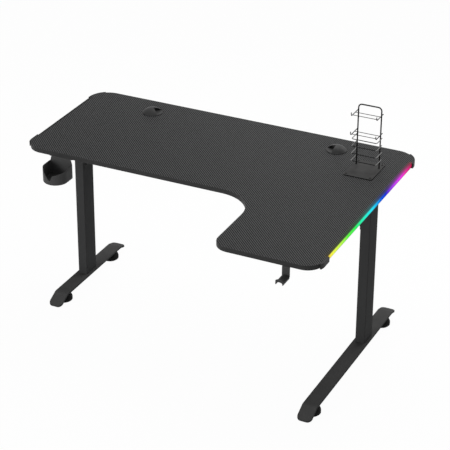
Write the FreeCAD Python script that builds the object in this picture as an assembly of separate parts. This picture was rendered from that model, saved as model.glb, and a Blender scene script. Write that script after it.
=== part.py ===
import FreeCAD, Part
import math
import os

# An L-shaped gaming desk with its return on the right, in millimetres.
# +X runs to the right, +Y to the back and +Z up. The origin is on the floor, under the middle.

# Desktop
board_length = 1400.0
main_depth = 600.0
return_depth = 1000.0
return_width = 400.0
desk_height = 730.0
board_thickness = 18.0
back_corner_radius = 80.0
main_corner_radius = 70.0
return_corner_radius = 60.0
inner_corner_radius = 150.0
band_thickness = 1.5
band_round = 1.2

# Clearances shared by every piece
overrun = 5.0
seat_gap = 0.1
running_gap = 0.3

# Light bars in the two short edges
light_depth = 10.0
light_wall = 1.5
diffuser_thickness = 3.0
diffuser_bulge = 1.0
strip_thickness = 1.2
strip_width = 8.0
led_side = 5.0
led_height = 1.6
led_pitch = 20.0
inlet_width = 24.0
inlet_length = 30.0
inlet_height = 11.0
inlet_setback = 8.0
socket_radius = 3.2
socket_depth = 14.0

# Corner caps
cap_wall = 6.0
cap_back_leg = 6.0
cap_front_leg = 40.0
cap_back_wrap = math.radians(56.0)
cap_front_wrap = math.radians(21.0)
cap_round = 0.9
cap_tab_reach = 26.0
cap_tab_length = 40.0
cap_tab_thickness = 2.5

# Cable grommets
grommet_from_end = 300.0
grommet_from_back = 104.0
grommet_bore = 30.0
grommet_flange_radius = 41.0
grommet_flange_thickness = 1.6
grommet_rim_width = 3.0
grommet_rim_height = 2.4
grommet_sleeve_wall = 2.0
grommet_sleeve_drop = 4.0
hood_wall = 2.0
hood_skirt = 2.6
hood_rise = 16.5
hood_spigot_depth = 8.0
hood_mouth_width = 28.0
hood_mouth_height = 10.0
hood_mouth_face = 2.6
hood_mouth_offset = 18.0
left_mouth_turn = -38.0
right_mouth_turn = -95.0

# Legs
left_leg_inset = 76.0
right_leg_inset = 87.0
column_from_back = 280.0
column_width = 40.0
column_depth = 80.0
column_wall = 2.0
column_corner = 4.0
top_plate_length = 120.0
top_plate_thickness = 6.0
insert_height = 20.0
arm_height = 25.0
arm_wall = 2.0
arm_corner = 3.0
arm_back_setback = 60.0
left_arm_front_setback = 55.0
right_arm_front_setback = 80.0
plug_flange = 3.0
plug_depth = 14.0
plug_wall = 2.0

# Foot bars
foot_width = 60.0
foot_top = 40.0
foot_flange = 7.0
foot_sheet = 3.0
foot_front_run = 60.0
foot_front_drop = 30.0
foot_back_run = 44.0
foot_back_drop = 12.0
foot_bend_radius = 30.0
foot_end_radius = 18.0
foot_edge_round = 2.0
foot_back_setback = 4.0
left_foot_front_setback = 47.0
right_foot_front_setback = 133.0

# Levelling glides
glide_front_setback = 75.0
glide_back_setback = 85.0
glide_radius = 36.0
glide_height = 28.0
glide_base_radius = 33.0
glide_base_bevel = 3.0
glide_shoulder_height = 10.0
glide_top_radius = 16.0
glide_recess_gap = 1.5
stud_radius = 4.0
stud_sink = 6.0
stud_top_gap = 0.6
bush_flats = 13.0
bush_height = 14.0

# Cross beam between the columns
beam_width = 30.0
beam_height = 60.0
beam_wall = 2.0
beam_corner = 3.0
end_plate_width = 64.0
end_plate_height = 180.0
end_plate_thickness = 4.0
end_plate_top_gap = 4.0
end_plate_bolt_spread = 44.0
end_plate_bolt_edge = 15.0
end_plate_bolt_rise = 70.0

# Cup holder under the front edge, near the left corner
cup_from_left = 163.0
cup_front_gap = 38.0
cup_radius = 50.0
cup_wall = 3.0
cup_floor_round = 5.0
cup_rim_drop = 21.0
cup_height = 60.0
cup_straight = 43.0
cup_flange_reach = 44.0
cup_notch_depth = 42.0
cup_notch_left_share = 0.92
cup_notch_floor_share = 0.06
cup_notch_step_share = 0.2
cup_scoop_step = 20.0
cup_scoop_end = 9.0

# Headphone hook under the front edge of the return
hook_from_right = 113.0
hook_reach = 55.0
hook_width = 29.0
hook_sheet = 3.0
hook_drop = 32.0
hook_arch_radius = 21.0
hook_ear = 4.0
hook_lip = 8.0
hook_flange_reach = 46.0
hook_bend = 5.0
hook_tip_round = 0.9

# Controller rack on the desktop
rack_from_right = 139.0
rack_front_from_back = 292.0
rack_base_width = 116.0
rack_base_depth = 146.0
rack_base_thickness = 3.0
rack_base_corner = 6.0
rack_base_round = 0.8
rack_post_spread = 92.0
rack_post_from_front = 106.0
rack_post_radius = 2.6
rack_height = 250.0
rack_post_bend = 14.0
rack_wire_radius = 1.6
rack_loop_count = 4
rack_loop_first = 33.0
rack_loop_pitch = 30.0
rack_loop_reach = 48.0
rack_loop_bend = 7.0
rack_tail = 6.0
rack_cradle_heights = (143.0, 221.0)
rack_cradle_reach = 62.0
rack_cradle_rise = 14.0
rack_cradle_bend = 8.0
rack_cross_radius = 1.2
rack_cross_shares = (0.35, 0.8)

# Fasteners
screw_radius = 2.0
screw_head_radius = 4.2
screw_head_height = 2.4
screw_bite = 11.0
bolt_radius = 3.0
bolt_flats = 10.0
bolt_head_height = 4.0
bolt_grip = 9.0
foot_bolt_radius = 4.0
foot_bolt_flats = 13.0
foot_bolt_head_height = 5.3
foot_bolt_bite = 12.0
foot_bolt_spread = 36.0
arm_bolt_edge = 13.0
arm_bolt_bite = 8.0
access_radius = 6.0
left_arm_screw_shares = (0.06, 0.25, 0.94)
right_arm_screw_shares = (0.04, 0.28, 0.5, 0.95)
cup_screw_spread = 60.0
hook_screw_shares = (0.42, 0.78)
rack_screw_edge = 10.0

# Places that follow from the sizes above
V = FreeCAD.Vector
up = V(0, 0, 1)
half = board_length / 2
back_y = (return_depth + hook_reach) / 2
main_front_y = back_y - main_depth
front_y = back_y - return_depth
board_z = desk_height - board_thickness
left_leg_x = left_leg_inset - half
right_leg_x = half - right_leg_inset
column_y = back_y - column_from_back
arm_width = column_width
arm_z = board_z - arm_height
plate_z = arm_z - top_plate_thickness
foot_back_y = back_y - foot_back_setback
left_foot_front_y = main_front_y + left_foot_front_setback
right_foot_front_y = front_y + right_foot_front_setback
light_back_y = back_y - back_corner_radius - cap_back_leg
left_light_front_y = main_front_y + main_corner_radius + cap_front_leg
right_light_front_y = front_y + return_corner_radius + cap_front_leg
grommet_spread = half - grommet_from_end
grommet_y = back_y - grommet_from_back
arm_back_y = back_y - arm_back_setback
left_arm_front_y = main_front_y + left_arm_front_setback
right_arm_front_y = front_y + right_arm_front_setback
cup_x = cup_from_left - half
cup_y = main_front_y - cup_front_gap
cup_plate_y = cup_y + cup_straight
cup_rim_z = board_z - cup_rim_drop
cup_floor_z = cup_rim_z - cup_height
hook_x = half - hook_from_right
hook_crown_z = board_z - hook_drop
rack_x = half - rack_from_right
rack_front_y = back_y - rack_front_from_back
rack_post_y = rack_front_y + rack_post_from_front
rack_floor_z = desk_height + rack_base_thickness
LEFT = -1
RIGHT = 1
FRONT = -1
BACK = 1


# Shapes that many pieces share
def block(x0, x1, y0, y1, z0, z1):
    return Part.makeBox(x1 - x0, y1 - y0, z1 - z0, V(x0, y0, z0))


def rod(radius, start, end):
    return Part.makeCylinder(radius, (end - start).Length, start, end - start)


def corner_points(before, corner, after, radius):
    back = (before - corner).normalize()
    ahead = (after - corner).normalize()
    half_angle = back.getAngle(ahead) / 2
    reach = radius / math.tan(half_angle)
    middle = (back + ahead).normalize() * (radius / math.sin(half_angle) - radius)
    return corner + back * reach, corner + middle, corner + ahead * reach


def rounded_edges(points, radii, closed):
    """Straight runs through the points, with a tangent arc at every corner that has a radius."""
    edges = []
    count = len(points)
    stops = []
    for i, corner in enumerate(points):
        inner = closed or 0 < i < count - 1
        if inner and radii[i] > 0:
            stops.append(corner_points(points[i - 1], corner, points[(i + 1) % count], radii[i]))
        else:
            stops.append((corner, corner, corner))
    last = count if closed else count - 1
    for i in range(count):
        entry, middle, leave = stops[i]
        if (leave - entry).Length > 0:
            edges.append(Part.Arc(entry, middle, leave).toShape())
        if i < last:
            edges.append(Part.LineSegment(leave, stops[(i + 1) % count][0]).toShape())
    return edges


def rounded_loop(points, radii):
    return Part.Wire(rounded_edges(points, radii, True))


def rounded_rectangle(x0, x1, y0, y1, z, radius):
    corners = [V(x0, y0, z), V(x1, y0, z), V(x1, y1, z), V(x0, y1, z)]
    return rounded_loop(corners, [radius] * len(corners))


def prism(wire, direction):
    return Part.Face(wire).extrude(direction)


def bent_rod(radius, points, bend):
    """A round rod along straight runs joined by tangent arcs."""
    path = Part.Wire(rounded_edges(points, [bend] * len(points), False))
    section = Part.Wire(Part.makeCircle(radius, points[0], points[1] - points[0]))
    return path.makePipeShell([section], True, False)


def hexagon(flats, base, direction):
    """A hexagonal prism of that width across flats, standing on base."""
    rim = flats / math.sqrt(3)
    turns = [math.radians(60 * i) for i in range(6)]
    corners = [V(rim * math.cos(t), rim * math.sin(t), 0) for t in turns]
    solid = Part.Face(Part.makePolygon(corners + corners[:1])).extrude(up * direction.Length)
    solid.Placement = FreeCAD.Placement(base, FreeCAD.Rotation(up, direction))
    return solid


def turned(points, arcs=()):
    """A solid of revolution about Z from an (r, z) outline; arcs gives a run the point it bulges through."""
    bulges = dict(arcs)
    corners = [V(r, 0, z) for r, z in points]
    edges = []
    for i, start in enumerate(corners):
        end = corners[(i + 1) % len(corners)]
        if i in bulges:
            edges.append(Part.Arc(start, V(bulges[i][0], 0, bulges[i][1]), end).toShape())
        else:
            edges.append(Part.LineSegment(start, end).toShape())
    return Part.Face(Part.Wire(edges)).revolve(V(0, 0, 0), up, 360)


def edges_at(shape, z):
    """The edges of a shape that lie in the level plane at z."""
    tolerance = 1e-6
    return [e for e in shape.Edges if all(abs(v.Point.z - z) < tolerance for v in e.Vertexes)]


def screw(seat, direction):
    """A pan-head screw: its head's flat on seat, its shank along direction."""
    head = rod(screw_head_radius, seat - direction * screw_head_height, seat)
    return head.fuse(rod(screw_radius, seat, seat + direction * screw_reach))


def hex_bolt(radius, flats, head_height, seat, shank):
    direction = V(shank).normalize()
    head = hexagon(flats, seat - direction * head_height, direction * head_height)
    return head.fuse(rod(radius, seat, seat + shank))


def hole(radius, start, end):
    """A through hole that runs past both faces."""
    step = (end - start).normalize() * overrun
    return rod(radius, start - step, end + step)


# Where the fasteners sit
screw_reach = screw_bite + max(cap_tab_thickness, arm_wall, cup_wall, hook_sheet)


def arm_screw_seats(x, front, shares):
    return [V(x, front + (arm_back_y - front) * s, board_z - arm_wall) for s in shares]


def cap_screw_seat(side, end, radius, edge):
    y = edge - end * (radius + cap_leg(end) - cap_tab_length / 2)
    return V(side * (half - cap_tab_reach / 2), y, board_z - cap_tab_thickness)


def cap_screw_seats():
    return [cap_screw_seat(*corner) for corner in cap_corners()]


def cup_screw_seats():
    y = cup_plate_y + cup_flange_reach / 2
    return [V(cup_x + side * cup_screw_spread / 2, y, board_z - cup_wall) for side in (LEFT, RIGHT)]


def hook_screw_seats():
    return [V(hook_x, front_y + hook_flange_reach * s, board_z - hook_sheet) for s in hook_screw_shares]


def rack_screw_seats():
    back = rack_front_y + rack_base_depth - rack_screw_edge
    front = rack_front_y + rack_screw_edge
    reach = rack_base_width / 2 - rack_screw_edge
    return [V(rack_x + side * reach, y, rack_floor_z) for side in (LEFT, RIGHT) for y in (front, back)]


def upward_seats():
    seats = arm_screw_seats(left_leg_x, left_arm_front_y, left_arm_screw_shares)
    seats += arm_screw_seats(right_leg_x, right_arm_front_y, right_arm_screw_shares)
    return seats + cap_screw_seats() + cup_screw_seats() + hook_screw_seats()


# Desktop and its edging
def outline(inset):
    x0 = inset - half
    x1 = half - inset
    return_x = half - return_width + inset
    corners = [
        V(x0, main_front_y + inset, board_z),
        V(return_x, main_front_y + inset, board_z),
        V(return_x, front_y + inset, board_z),
        V(x1, front_y + inset, board_z),
        V(x1, back_y - inset, board_z),
        V(x0, back_y - inset, board_z),
    ]
    main = main_corner_radius - inset
    ahead = return_corner_radius - inset
    back = back_corner_radius - inset
    return rounded_loop(corners, [main, inner_corner_radius + inset, ahead, ahead, back, back])


def light_span(side):
    return (left_light_front_y if side == LEFT else right_light_front_y), light_back_y


def across(side, near, far):
    """The low and high X of a stretch that lies near to far beyond the board's middle on one side."""
    return min(side * near, side * far), max(side * near, side * far)


def light_recesses():
    cuts = []
    for side in (LEFT, RIGHT):
        x0, x1 = across(side, half - light_depth, half + overrun)
        y0, y1 = light_span(side)
        cuts.append(block(x0, x1, y0, y1, board_z - overrun, desk_height + overrun))
    return cuts


def desktop_board():
    board = prism(outline(band_thickness), up * board_thickness)
    cuts = light_recesses()
    for side in (LEFT, RIGHT):
        centre = V(side * grommet_spread, grommet_y, board_z)
        cuts.append(hole(grommet_bore, centre, centre + up * board_thickness))
    for seat in upward_seats():
        cuts.append(rod(screw_radius + seat_gap, seat, seat + up * (screw_reach + seat_gap)))
    for seat in rack_screw_seats():
        cuts.append(rod(screw_radius + seat_gap, seat, seat - up * (screw_reach + seat_gap)))
    return board.cut(cuts)


def edge_band():
    """The plain edging strips: one round the front, one round the back, parted by the light bars."""
    ring = prism(outline(0), up * board_thickness)
    ring = ring.makeFillet(band_round, edges_at(ring, board_z) + edges_at(ring, desk_height))
    return ring.cut([prism(outline(band_thickness), up * board_thickness)] + light_recesses())


# Light bars
def light_channel(side):
    x0, x1 = across(side, half - light_depth, half)
    y0, y1 = light_span(side)
    body = block(x0, x1, y0, y1, board_z, desk_height)
    p0, p1 = across(side, half - light_depth + light_wall, half + overrun)
    pocket = block(p0, p1, y0 - overrun, y1 + overrun, board_z + light_wall, desk_height - light_wall)
    return body.cut(pocket)


def led_strip(side):
    y0, y1 = light_span(side)
    web = half - light_depth + light_wall
    z = board_z + board_thickness / 2
    x0, x1 = across(side, web, web + strip_thickness)
    strip = block(x0, x1, y0, y1, z - strip_width / 2, z + strip_width / 2)
    c0, c1 = across(side, web + strip_thickness, web + strip_thickness + led_height)
    count = int((y1 - y0) // led_pitch)
    first = (y0 + y1 - led_pitch * (count - 1)) / 2
    chips = []
    for i in range(count):
        y = first + led_pitch * i
        chips.append(block(c0, c1, y - led_side / 2, y + led_side / 2, z - led_side / 2, z + led_side / 2))
    return strip.fuse(chips)


def light_diffuser(side):
    y0, y1 = light_span(side)
    z0 = board_z + light_wall
    z1 = desk_height - light_wall
    inner = side * (half - diffuser_thickness)
    outer = side * half
    crown = V(side * (half + diffuser_bulge), y0, (z0 + z1) / 2)
    low = V(outer, y0, z0)
    high = V(outer, y0, z1)
    lines = [(V(inner, y0, z1), V(inner, y0, z0)), (V(inner, y0, z0), low), (high, V(inner, y0, z1))]
    edges = [Part.LineSegment(a, b).toShape() for a, b in lines]
    edges.insert(2, Part.Arc(low, crown, high).toShape())
    return prism(Part.Wire(edges), V(0, y1 - y0, 0))


def light_inlet(side):
    """The bar's power socket, under the board at its back end, its mouth facing the back."""
    x0, x1 = across(side, half - inlet_setback - inlet_width, half - inlet_setback)
    y1 = light_back_y - inlet_setback
    body = block(x0, x1, y1 - inlet_length, y1, board_z - inlet_height, board_z)
    mouth = V((x0 + x1) / 2, y1, board_z - inlet_height / 2)
    return body.cut(rod(socket_radius, mouth - V(0, socket_depth, 0), mouth + V(0, overrun, 0)))


# Corner caps
def cap_corners():
    """Side, end, radius and the Y of the long edge, for the four capped corners."""
    return [
        (LEFT, BACK, back_corner_radius, back_y),
        (LEFT, FRONT, main_corner_radius, main_front_y),
        (RIGHT, BACK, back_corner_radius, back_y),
        (RIGHT, FRONT, return_corner_radius, front_y),
    ]


def cap_leg(end):
    return cap_back_leg if end == BACK else cap_front_leg


def corner_cap(side, end, radius, edge):
    """A wall round the corner, with a screw tab under the board that follows the board's outline."""
    wrap = cap_back_wrap if end == BACK else cap_front_wrap
    x = side * (half - radius)
    y = edge - end * radius
    z = board_z - cap_tab_thickness
    inner = radius + seat_gap
    outer = radius + cap_wall

    def rim(reach, turn):
        return V(x + side * reach * math.cos(turn), y + end * reach * math.sin(turn), z)

    foot = V(0, -end * cap_leg(end), 0)
    edges = [
        Part.LineSegment(rim(inner, 0) + foot, rim(outer, 0) + foot).toShape(),
        Part.LineSegment(rim(outer, 0) + foot, rim(outer, 0)).toShape(),
        Part.Arc(rim(outer, 0), rim(outer, wrap / 2), rim(outer, wrap)).toShape(),
        Part.LineSegment(rim(outer, wrap), rim(inner, wrap)).toShape(),
        Part.Arc(rim(inner, wrap), rim(inner, wrap / 2), rim(inner, 0)).toShape(),
        Part.LineSegment(rim(inner, 0), rim(inner, 0) + foot).toShape(),
    ]
    wall = prism(Part.Wire(edges), up * (board_thickness + cap_tab_thickness))
    wall = wall.makeFillet(cap_round, edges_at(wall, desk_height))
    x0, x1 = across(side, half - cap_tab_reach, half + cap_wall)
    start = y - end * cap_leg(end)
    y0, y1 = sorted((start, start + end * cap_tab_length))
    tab = block(x0, x1, y0, y1, z, board_z).common(prism(outline(-cap_wall / 2), -up * cap_tab_thickness))
    seat = cap_screw_seat(side, end, radius, edge)
    return wall.fuse(tab).cut(hole(screw_radius + seat_gap, seat, seat + up * cap_tab_thickness))


# Cable grommets
grommet_rim_radius = grommet_flange_radius - grommet_rim_width
grommet_sleeve_radius = grommet_bore - seat_gap
grommet_throat = grommet_sleeve_radius - grommet_sleeve_wall
hood_radius = grommet_rim_radius - running_gap
hood_spigot_radius = grommet_throat - running_gap


def grommet_liner(side):
    """A flanged sleeve with a raised, rounded rim that the hood turns in."""
    floor = grommet_flange_thickness
    drop = board_thickness + grommet_sleeve_drop
    crest = floor + grommet_rim_height
    slope = grommet_rim_width * 2 / 3
    turn = math.radians(45)
    bulge = (grommet_flange_radius - slope * (1 - math.cos(turn)), crest * math.sin(turn))
    points = [
        (grommet_throat, -drop),
        (grommet_sleeve_radius, -drop),
        (grommet_sleeve_radius, 0),
        (grommet_flange_radius, 0),
        (grommet_flange_radius - slope, crest),
        (grommet_rim_radius, crest),
        (grommet_rim_radius, floor),
        (grommet_throat, floor),
    ]
    body = turned(points, [(3, bulge)])
    body.translate(V(side * grommet_spread, grommet_y, desk_height))
    return body


def dome(radius, skirt, rise):
    """A straight skirt under a spherical crown, solid, standing on z 0."""
    crown_radius = (radius * radius + rise * rise) / (2 * rise)
    turn = math.asin(radius / crown_radius) / 2
    bulge = (crown_radius * math.sin(turn), skirt + rise - crown_radius * (1 - math.cos(turn)))
    return turned([(0, 0), (radius, 0), (radius, skirt), (0, skirt + rise)], [(2, bulge)])


def arch(width, height, z, x0, x1):
    """A tunnel along X with a curved roof."""
    left = V(x0, -width / 2, z)
    right = V(x0, width / 2, z)
    roof = Part.Arc(left, V(x0, 0, z + height), right).toShape()
    return prism(Part.Wire([roof, Part.LineSegment(right, left).toShape()]), V(x1 - x0, 0, 0))


def grommet_hood(side, turn):
    """A domed cover on a spigot that turns in the liner. A quarter of the dome is cut down to a floor,
    and one wall of that scoop holds an arched cable mouth."""
    deck = hood_wall
    face = hood_mouth_face
    edge = hood_mouth_offset - hood_mouth_width / 2 - hood_wall
    far = hood_radius + overrun
    high = hood_skirt + hood_rise + overrun
    throat = hood_spigot_radius - hood_wall
    scoop = block(face, far, edge, far, deck, high)
    walls = block(face - hood_wall, far, edge - hood_wall, far, -overrun, high)
    room = dome(hood_radius - hood_wall, hood_skirt, hood_rise - hood_wall)
    room = room.cut([block(-far, far, -far, far, -overrun, deck), walls])
    well = rod(throat, V(0, 0, 0), up * deck).cut(walls)
    mouth = arch(hood_mouth_width, hood_mouth_height, deck, face - hood_wall, face)
    mouth.translate(V(0, hood_mouth_offset, 0))
    low = V(0, 0, -hood_spigot_depth)
    spigot = rod(hood_spigot_radius, low, V(0, 0, 0)).cut(rod(throat, low, V(0, 0, 0)))
    body = dome(hood_radius, hood_skirt, hood_rise).cut([scoop, room, well, mouth]).fuse(spigot)
    if side == RIGHT:
        body = body.mirror(V(0, 0, 0), V(0, 1, 0))
    body.rotate(V(0, 0, 0), up, turn)
    body.translate(V(side * grommet_spread, grommet_y, desk_height + grommet_flange_thickness))
    return body


# Legs
def leg_x(side):
    return left_leg_x if side == LEFT else right_leg_x


def column(side):
    """A rectangular steel tube that stands on the foot bar."""
    x = leg_x(side)
    w = column_width / 2
    d = column_depth / 2
    height = up * (plate_z - foot_top)
    plan = rounded_rectangle(x - w, x + w, column_y - d, column_y + d, foot_top, column_corner)
    w -= column_wall
    d -= column_wall
    inside = column_corner - column_wall
    bore = rounded_rectangle(x - w, x + w, column_y - d, column_y + d, foot_top, inside)
    holes = [hole(bolt_radius + seat_gap, p, p - V(side * column_wall, 0, 0)) for p in end_plate_bolts(side)]
    return prism(plan, height).cut([prism(bore, height)] + holes)


def top_plate(side):
    """The flat bar on top of a column that the support arm is bolted to."""
    x = leg_x(side)
    w = arm_width / 2
    d = top_plate_length / 2
    rise = up * top_plate_thickness
    plan = rounded_rectangle(x - w, x + w, column_y - d, column_y + d, plate_z, column_corner)
    return prism(plan, rise).cut([hole(bolt_radius + seat_gap, p, p + rise) for p in arm_bolts(side)])


def arm_bolts(side):
    reach = top_plate_length / 2 - arm_bolt_edge
    return [V(leg_x(side), column_y + end * reach, plate_z) for end in (FRONT, BACK)]


def column_insert(side):
    """The threaded block welded inside the column's foot."""
    x = leg_x(side)
    w = column_width / 2 - column_wall - seat_gap
    d = column_depth / 2 - column_wall - seat_gap
    radius = column_corner - column_wall + seat_gap
    rise = up * insert_height
    plan = rounded_rectangle(x - w, x + w, column_y - d, column_y + d, foot_top, radius)
    return prism(plan, rise).cut([hole(foot_bolt_radius + seat_gap, p, p + rise) for p in foot_bolts(side)])


def foot_bolts(side):
    return [V(leg_x(side), column_y + end * foot_bolt_spread / 2, foot_top) for end in (FRONT, BACK)]


def arm_front(side):
    return left_arm_front_y if side == LEFT else right_arm_front_y


def level_tube(x, z, width, height, wall, corner, start, length):
    """A rectangular tube along +Y from start, with rounded corners."""
    def section(w, h, radius):
        points = [V(-w, 0, -h), V(w, 0, -h), V(w, 0, h), V(-w, 0, h)]
        return prism(rounded_loop(points, [radius] * len(points)), V(0, length, 0))
    tube = section(width / 2, height / 2, corner)
    tube = tube.cut(section(width / 2 - wall, height / 2 - wall, corner - wall))
    tube.translate(V(x, start, z + height / 2))
    return tube


def support_arm(side):
    """The tube that carries the board, with screw holes above and wider access holes below."""
    x = leg_x(side)
    front = arm_front(side)
    tube = level_tube(x, arm_z, arm_width, arm_height, arm_wall, arm_corner, front, arm_back_y - front)
    shares = left_arm_screw_shares if side == LEFT else right_arm_screw_shares
    cuts = []
    for seat in arm_screw_seats(x, front, shares):
        cuts.append(hole(screw_radius + seat_gap, seat, seat + up * arm_wall))
        low = V(seat.x, seat.y, arm_z)
        cuts.append(hole(access_radius, low, low + up * arm_wall))
    for p in arm_bolts(side):
        low = V(p.x, p.y, arm_z)
        cuts.append(hole(bolt_radius + seat_gap, low, low + up * arm_wall))
    return tube.cut(cuts)


def arm_plug(side, end):
    """A moulded plug in one end of a support arm: a flange and a hollow spigot."""
    x = leg_x(side)
    y = arm_back_y if end == BACK else arm_front(side)
    z = arm_z + arm_height / 2

    def section(w, h, radius, reach):
        points = [V(x - w, y, z - h), V(x + w, y, z - h), V(x + w, y, z + h), V(x - w, y, z + h)]
        return prism(rounded_loop(points, [radius] * len(points)), V(0, reach, 0))

    flange = section(arm_width / 2, arm_height / 2, arm_corner, end * plug_flange)
    w = arm_width / 2 - arm_wall - seat_gap
    h = arm_height / 2 - arm_wall - seat_gap
    spigot = section(w, h, arm_corner - arm_wall + seat_gap, -end * plug_depth)
    room = section(w - plug_wall, h - plug_wall, 0, -end * (plug_depth + overrun))
    return flange.fuse(spigot.cut(room))


# Foot bars
def foot_front(side):
    return left_foot_front_y if side == LEFT else right_foot_front_y


def foot_profile(side, x, top, width):
    """The bar seen from the side, its two ends bent down, carried across its width."""
    front = foot_front(side)
    line = [
        (front, top - foot_front_drop),
        (front + foot_front_run, top),
        (foot_back_y - foot_back_run, top),
        (foot_back_y, top - foot_back_drop),
    ]
    points = [V(x, y, z) for y, z in line] + [V(x, y, z - foot_flange) for y, z in reversed(line)]
    radii = [0, foot_bend_radius, foot_bend_radius, 0]
    return prism(rounded_loop(points, radii * 2), V(width, 0, 0))


def foot_bar(side):
    """A pressed sheet-steel bar: a level web with shallow flanges and rounded, sloping ends."""
    x0 = leg_x(side) - foot_width / 2
    front = foot_front(side)
    plan = rounded_rectangle(x0, x0 + foot_width, front, foot_back_y, 0, foot_end_radius)
    bar = foot_profile(side, x0, foot_top, foot_width).common(prism(plan, up * (foot_top + overrun)))
    tops = [f for f in bar.Faces if f.normalAt(*middle_uv(f)).z > math.cos(math.radians(45))]
    shared = [e.hashCode() for f in tops for e in f.Edges]
    rim = [e for f in tops for e in f.Edges if shared.count(e.hashCode()) == 1]
    bar = bar.makeFillet(foot_edge_round, rim)
    inner = rounded_rectangle(x0 + foot_sheet, x0 + foot_width - foot_sheet, front + foot_sheet,
                              foot_back_y - foot_sheet, -foot_top, foot_end_radius - foot_sheet)
    pocket = foot_profile(side, x0 + foot_sheet, foot_top - foot_sheet, foot_width - 2 * foot_sheet)
    pocket = pocket.common(prism(inner, up * 2 * foot_top))
    web = up * foot_sheet
    holes = [hole(foot_bolt_radius + seat_gap, p - web, p) for p in foot_bolts(side)]
    return bar.cut([pocket] + holes)


def middle_uv(face):
    u0, u1, v0, v1 = face.ParameterRange
    return (u0 + u1) / 2, (v0 + v1) / 2


# Levelling glides
def glide_place(side, end):
    y = foot_back_y - glide_back_setback if end == BACK else foot_front(side) + glide_front_setback
    return V(leg_x(side), y, 0)


def glide_pad(side, end):
    """A round moulded foot with a curved shoulder and a recess round the threaded bush."""
    recess = bush_flats / math.sqrt(3) + glide_recess_gap
    floor = foot_top - foot_sheet - bush_height - glide_recess_gap
    bulge = (glide_radius + glide_top_radius) / 2 + (glide_radius - glide_top_radius) / 4
    bulge_z = (glide_shoulder_height + glide_height) / 2 + (glide_height - glide_shoulder_height) / 4
    bore = stud_radius + seat_gap
    outline_points = [
        (0, 0),
        (glide_base_radius, 0),
        (glide_radius, glide_base_bevel),
        (glide_radius, glide_shoulder_height),
        (glide_top_radius, glide_height),
        (recess, glide_height),
        (recess, floor),
        (bore, floor),
        (bore, stud_sink),
        (0, stud_sink),
    ]
    pad = turned(outline_points, [(3, (bulge, bulge_z))])
    pad.translate(glide_place(side, end))
    return pad


def glide_stud(side, end):
    place = glide_place(side, end)
    return rod(stud_radius, place + up * stud_sink, place + up * (foot_top - foot_sheet - stud_top_gap))


def glide_bush(side, end):
    """The hexagonal threaded bush welded under the foot bar's web."""
    base = glide_place(side, end) + up * (foot_top - foot_sheet - bush_height)
    body = hexagon(bush_flats, base, up * bush_height)
    return body.cut(hole(stud_radius + running_gap, base, base + up * bush_height))


# Cross beam
def column_face(side):
    """The X of a column's face that looks towards the middle of the desk."""
    return leg_x(side) - side * column_width / 2


def end_plate_bolts(side):
    x = column_face(side)
    low = board_z - end_plate_top_gap - end_plate_height + end_plate_bolt_edge
    spread = end_plate_bolt_spread / 2
    rises = (0, end_plate_bolt_rise)
    return [V(x, column_y + end * spread, low + rise) for end in (FRONT, BACK) for rise in rises]


def end_plate(side):
    x0, x1 = sorted((column_face(side), column_face(side) - side * end_plate_thickness))
    d = end_plate_width / 2
    z1 = board_z - end_plate_top_gap
    plate = block(x0, x1, column_y - d, column_y + d, z1 - end_plate_height, z1)
    inward = V(-side * end_plate_thickness, 0, 0)
    return plate.cut([hole(bolt_radius + seat_gap, p, p + inward) for p in end_plate_bolts(side)])


def cross_beam():
    """The rectangular tube between the two end plates, close under the board."""
    start = column_face(LEFT) + end_plate_thickness
    end = column_face(RIGHT) - end_plate_thickness
    beam = level_tube(0, 0, beam_width, beam_height, beam_wall, beam_corner, 0, end - start)
    beam.rotate(V(0, 0, 0), up, -90)
    beam.translate(V(start, column_y, board_z - beam_height))
    return beam


# Cup holder
def cup_plan(inset, z):
    x0 = cup_x - cup_radius + inset
    x1 = cup_x + cup_radius - inset
    y1 = cup_plate_y - inset
    front = V(cup_x, cup_y - cup_radius + inset, z)
    edges = [
        Part.LineSegment(V(x1, y1, z), V(x0, y1, z)).toShape(),
        Part.LineSegment(V(x0, y1, z), V(x0, cup_y, z)).toShape(),
        Part.Arc(V(x0, cup_y, z), front, V(x1, cup_y, z)).toShape(),
        Part.LineSegment(V(x1, cup_y, z), V(x1, y1, z)).toShape(),
    ]
    return Part.Wire(edges)


def cup_notch():
    """The handle notch in the front wall and the scooped rim to its right, as one cutter."""
    top = cup_rim_z
    low = top - cup_notch_depth
    line = [
        (-cup_notch_left_share, top),
        (-cup_notch_floor_share, low),
        (cup_notch_floor_share, low),
        (cup_notch_step_share, top - cup_scoop_step),
        (1, top - cup_scoop_end),
        (1, top + overrun),
        (-cup_notch_left_share, top + overrun),
    ]
    points = [V(cup_x + share * cup_radius, cup_y, z) for share, z in line]
    return Part.Face(Part.makePolygon(points + points[:1])).extrude(V(0, -cup_radius - overrun, 0))


def cup_holder():
    """A D-shaped cup on a back plate that hangs from a flange under the board."""
    cup = prism(cup_plan(0, cup_floor_z), up * cup_height)
    cup = cup.makeFillet(cup_floor_round, edges_at(cup, cup_floor_z))
    inside = prism(cup_plan(cup_wall, cup_floor_z + cup_wall), up * cup_height)
    inside = inside.makeFillet(cup_floor_round - cup_wall, edges_at(inside, cup_floor_z + cup_wall))
    cup = cup.cut([inside, cup_notch()])
    x0 = cup_x - cup_radius
    x1 = cup_x + cup_radius
    plate = block(x0, x1, cup_plate_y - cup_wall, cup_plate_y, cup_rim_z - cup_wall, board_z)
    flange = block(x0, x1, cup_plate_y, cup_plate_y + cup_flange_reach, board_z - cup_wall, board_z)
    holes = [hole(screw_radius + seat_gap, p, p + up * cup_wall) for p in cup_screw_seats()]
    return cup.fuse([plate, flange]).removeSplitter().cut(holes)


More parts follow.
